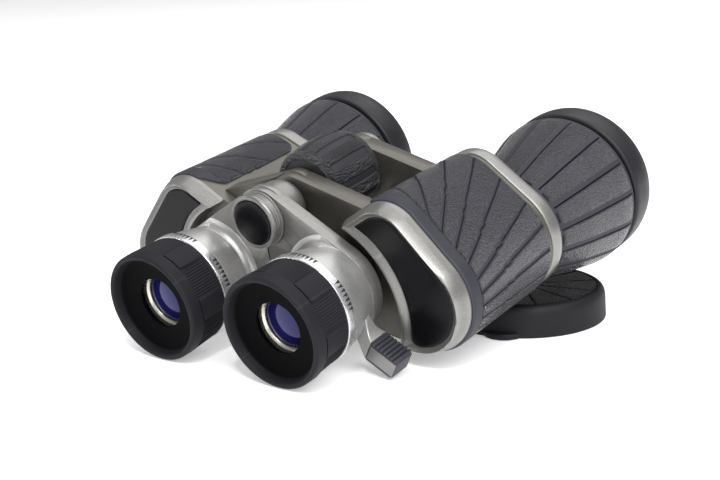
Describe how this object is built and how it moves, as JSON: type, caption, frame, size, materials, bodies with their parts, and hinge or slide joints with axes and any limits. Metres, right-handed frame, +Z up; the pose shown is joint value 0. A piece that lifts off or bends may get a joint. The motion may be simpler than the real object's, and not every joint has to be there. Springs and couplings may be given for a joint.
{
  "type": "binoculars",
  "caption": "Porro prism binoculars with centre focusing, two hinge bars, rubber armour, graduated eyepieces and a side lever, resting on the objective caps.",
  "frame": {"origin": "centre of the footprint on the table, at table height", "axes": "+X towards the right-hand barrel as the user holds it, +Y out of the objectives, +Z up; the optical axes tip up 11 degrees from +Y"},
  "size_m": [0.1744, 0.169, 0.0766],
  "materials": {
    "body_paint": "satin olive-grey sparkle paint on cast metal",
    "cover_paint": "satin silver-grey sparkle paint",
    "panel_black": "semi-gloss black",
    "armour_rubber": "pebbled dark grey rubber with moulded grooves",
    "wheel_rubber": "coarse grained black rubber with smooth pads",
    "rim_plastic": "smooth satin black",
    "cup_plastic": "matte black with fine ribs",
    "scale_metal": "bright ring with black graduations",
    "inner_black": "blackened metal",
    "steel": "turned steel",
    "ring_metal": "pale satin ring",
    "eye_glass": "blue coated lens",
    "objective_glass": "violet coated lens",
    "prism_glass": "clear ground prism",
    "cap_rubber": "black rubber"
  },
  "bodies": {
    "left_half": {"left_housing": "body_paint", "left_hinge_bars": "body_paint", "left_rear_cover": "cover_paint", "left_inlay": "panel_black", "left_front_plate": "cover_paint", "left_armour": "armour_rubber", "left_prism_shelf": "inner_black", "left_rear_prism": "prism_glass", "left_front_prism": "prism_glass", "left_prism_clips": "steel", "left_barrel": "inner_black", "left_sleeve": "armour_rubber", "left_rim": "rim_plastic", "left_objective": "objective_glass", "left_retaining_ring": "inner_black", "hinge_tube": "steel", "tripod_socket": "cover_paint"},
    "right_half": {"right_housing": "body_paint", "right_hinge_bars": "body_paint", "right_rear_cover": "cover_paint", "right_inlay": "panel_black", "right_front_plate": "cover_paint", "right_armour": "armour_rubber", "right_prism_shelf": "inner_black", "right_rear_prism": "prism_glass", "right_front_prism": "prism_glass", "right_prism_clips": "steel", "right_barrel": "inner_black", "right_sleeve": "armour_rubber", "right_rim": "rim_plastic", "right_objective": "objective_glass", "right_retaining_ring": "inner_black"},
    "focus_wheel": {"wheel_core": "inner_black", "wheel_rubber": "wheel_rubber"},
    "left_ocular": {"left_bridge_arm": "cover_paint", "left_cone": "cover_paint", "bridge_boss": "cover_paint", "focus_spindle": "steel", "hub_ring": "cover_paint", "hub_badge": "panel_black"},
    "right_ocular": {"right_bridge_arm": "cover_paint"},
    "left_eyepiece_ring": {"left_scale_ring": "scale_metal", "left_eyecup": "cup_plastic"},
    "right_eyepiece_ring": {"right_scale_ring": "scale_metal", "right_eyecup": "cup_plastic"},
    "left_lens_cell": {"left_eye_tube": "inner_black", "left_eye_ring": "ring_metal", "left_eye_lens": "eye_glass", "left_field_lens": "prism_glass"},
    "right_lens_cell": {"right_eye_tube": "inner_black", "right_eye_ring": "ring_metal", "right_eye_lens": "eye_glass", "right_field_lens": "prism_glass"},
    "power_lever": {"right_cone": "cover_paint", "lever_arm": "cover_paint", "lever_grip": "armour_rubber", "lever_inlay": "scale_metal"},
    "left_objective_cap": {"left_cap": "cap_rubber"},
    "right_objective_cap": {"right_cap": "cap_rubber"}
  },
  "joints": [
    {"name": "fold", "type": "hinge", "parent": "left_half", "child": "right_half", "pos_m": [0, -0.01669, 0.05712], "axis": [0, -0.9816, -0.1908], "range_deg": [0, 56]},
    {"name": "focus_turn", "type": "hinge", "parent": "left_half", "child": "focus_wheel", "pos_m": [0, -0.01669, 0.05712], "axis": [0, 0.9816, 0.1908], "range_deg": [0, 480]},
    {"name": "ocular_slide", "type": "slide", "parent": "left_half", "child": "left_ocular", "axis": [0, -0.9816, -0.1908], "range_m": [0, 0.008]},
    {"name": "bridge_fold", "type": "hinge", "parent": "left_ocular", "child": "right_ocular", "pos_m": [0, -0.0481, 0.05102], "axis": [0, -0.9816, -0.1908], "range_deg": [0, 56]},
    {"name": "left_dioptre", "type": "hinge", "parent": "left_ocular", "child": "left_eyepiece_ring", "pos_m": [-0.028, -0.06608, 0.02297], "axis": [0, 0.9816, 0.1908], "range_deg": [-60, 60]},
    {"name": "left_lens_travel", "type": "slide", "parent": "left_ocular", "child": "left_lens_cell", "axis": [0, -0.9816, -0.1908], "range_m": [-0.00105, 0.00105]},
    {"name": "right_dioptre", "type": "hinge", "parent": "right_ocular", "child": "right_eyepiece_ring", "pos_m": [0.028, -0.06608, 0.02297], "axis": [0, 0.9816, 0.1908], "range_deg": [-60, 60]},
    {"name": "right_lens_travel", "type": "slide", "parent": "right_ocular", "child": "right_lens_cell", "axis": [0, -0.9816, -0.1908], "range_m": [-0.00105, 0.00105]},
    {"name": "lever_turn", "type": "hinge", "parent": "right_ocular", "child": "power_lever", "pos_m": [0.028, -0.05136, 0.02583], "axis": [0, -0.9816, -0.1908], "range_deg": [0, 60]},
    {"name": "left_cap_lift", "type": "slide", "parent": "left_half", "child": "left_objective_cap", "axis": [0, 0, -1], "range_m": [0, 0.04]},
    {"name": "right_cap_lift", "type": "slide", "parent": "left_half", "child": "right_objective_cap", "axis": [0, 0, -1], "range_m": [0, 0.04]}
  ],
  "couplings": [
    {"joint": "bridge_fold", "follows": "fold", "ratio": 1},
    {"joint": "ocular_slide", "follows": "focus_turn", "m_per_rad": 0.00095},
    {"joint": "left_lens_travel", "follows": "left_dioptre", "m_per_rad": 0.001},
    {"joint": "right_lens_travel", "follows": "right_dioptre", "m_per_rad": 0.001}
  ]
}
